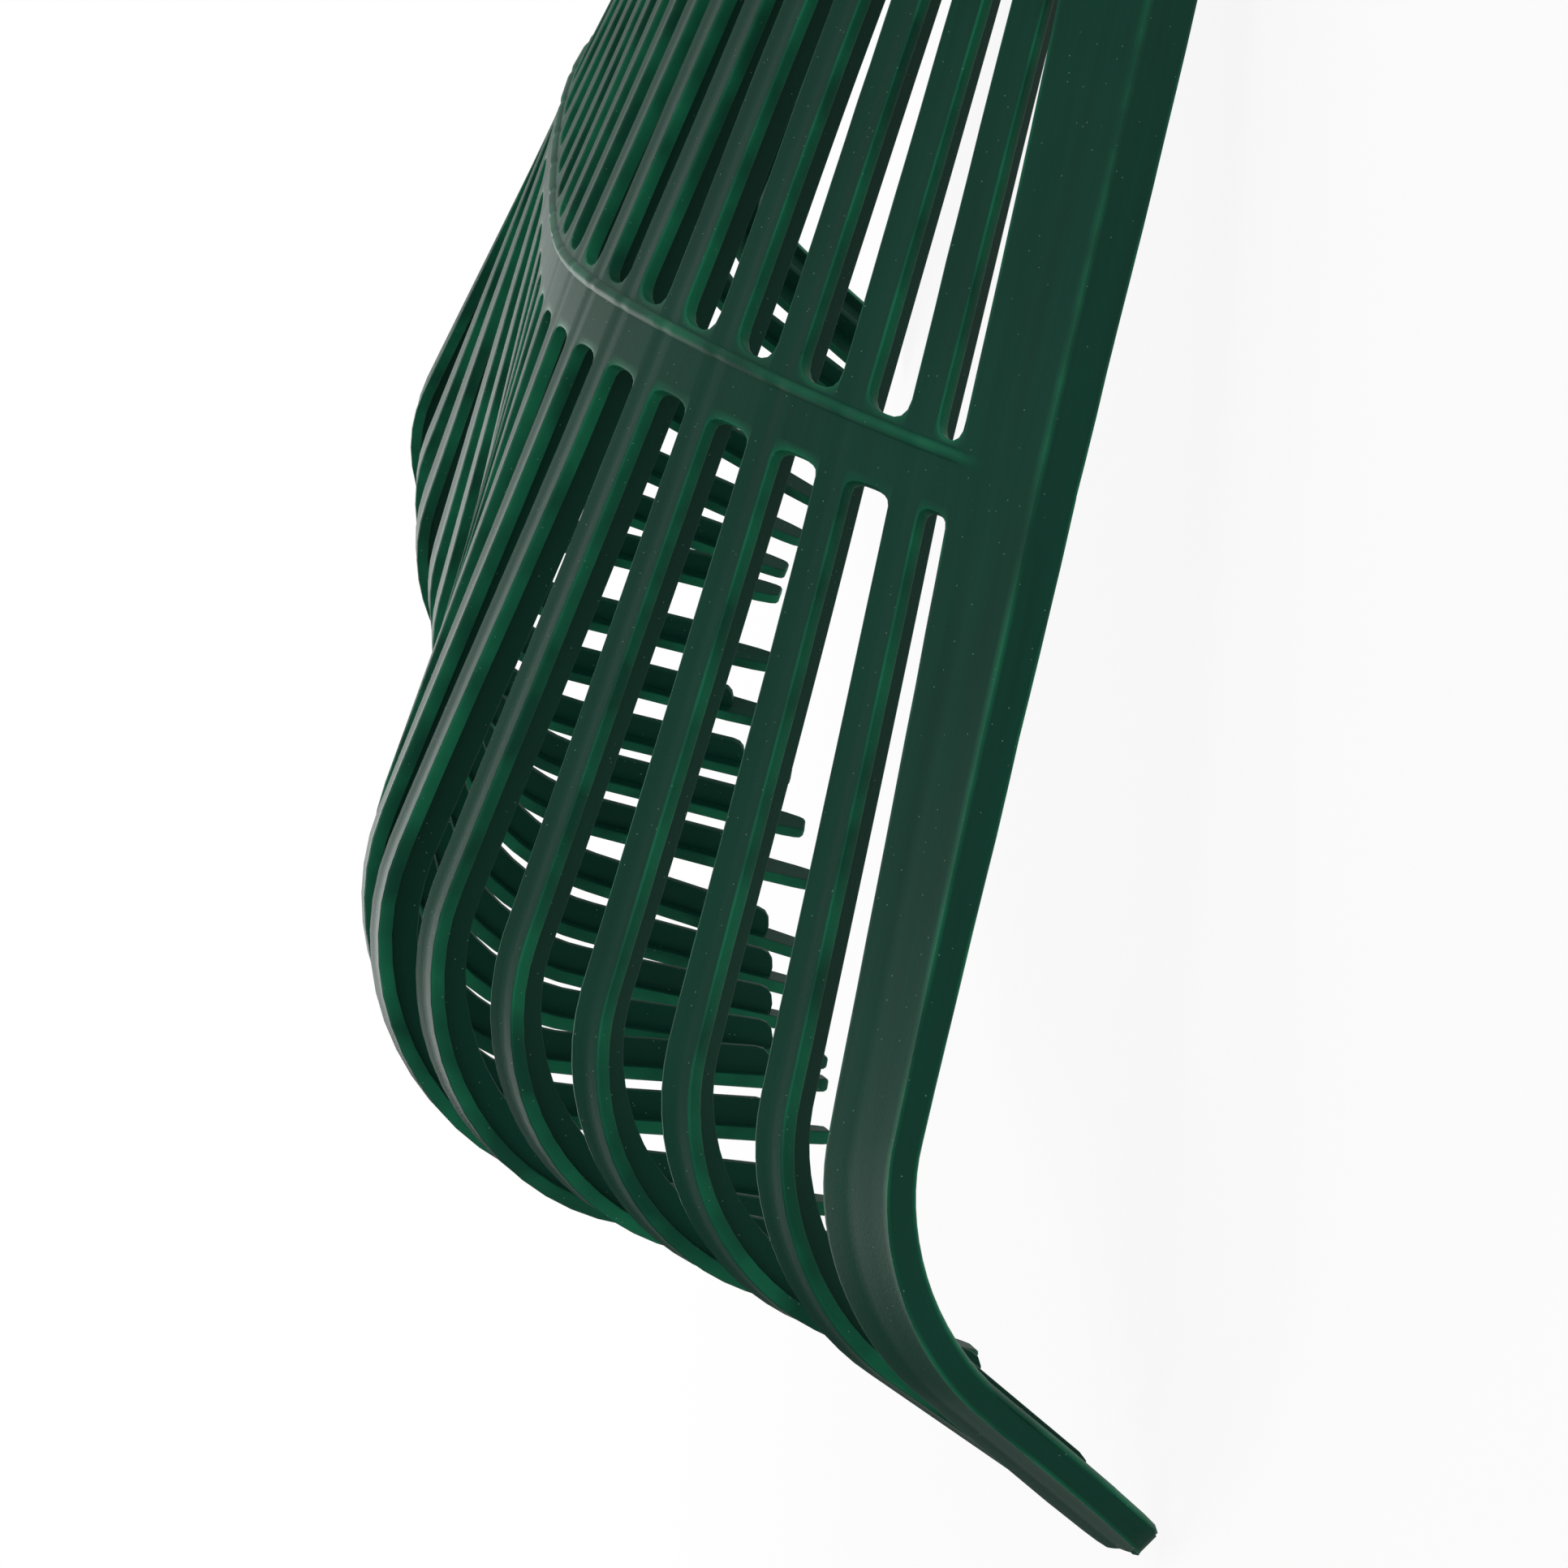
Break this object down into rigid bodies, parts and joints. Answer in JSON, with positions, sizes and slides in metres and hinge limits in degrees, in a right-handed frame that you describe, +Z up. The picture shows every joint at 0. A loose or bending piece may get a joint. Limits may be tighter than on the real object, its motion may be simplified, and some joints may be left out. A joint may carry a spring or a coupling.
{
  "type": "leaf grabber hands",
  "caption": "Pair of cupped plastic leaf scoops: a fan of ribbed tines joined by a cross band, with wide side rails and a sleeved grip bar on the back",
  "frame": {"origin": "on the ground, in the middle of the pair as it lies palm down", "axes": "+Z up, X across the fans, Y along the tines; hand_a lies on the -Y side with its tips toward -Y, and hand_b is turned the other way on the +Y side"},
  "size_m": [0.416, 0.516, 0.1042],
  "materials": {
    "moulding": "satin moulded",
    "sleeve": "soft matte",
    "screw": "plated"
  },
  "bodies": {
    "hand_a": {"hand_a_scoop": "moulding", "hand_a_grip_bar": "moulding", "hand_a_grip_sleeve": "sleeve", "hand_a_grip_screw_left": "screw", "hand_a_grip_screw_right": "screw"},
    "hand_b": {"hand_b_scoop": "moulding", "hand_b_grip_bar": "moulding", "hand_b_grip_sleeve": "sleeve", "hand_b_grip_screw_left": "screw", "hand_b_grip_screw_right": "screw"}
  },
  "joints": [
    {"name": "pair_spread", "type": "slide", "parent": "hand_a", "child": "hand_b", "axis": [0, 1, 0], "range_m": [-0.05, 0.3]}
  ]
}
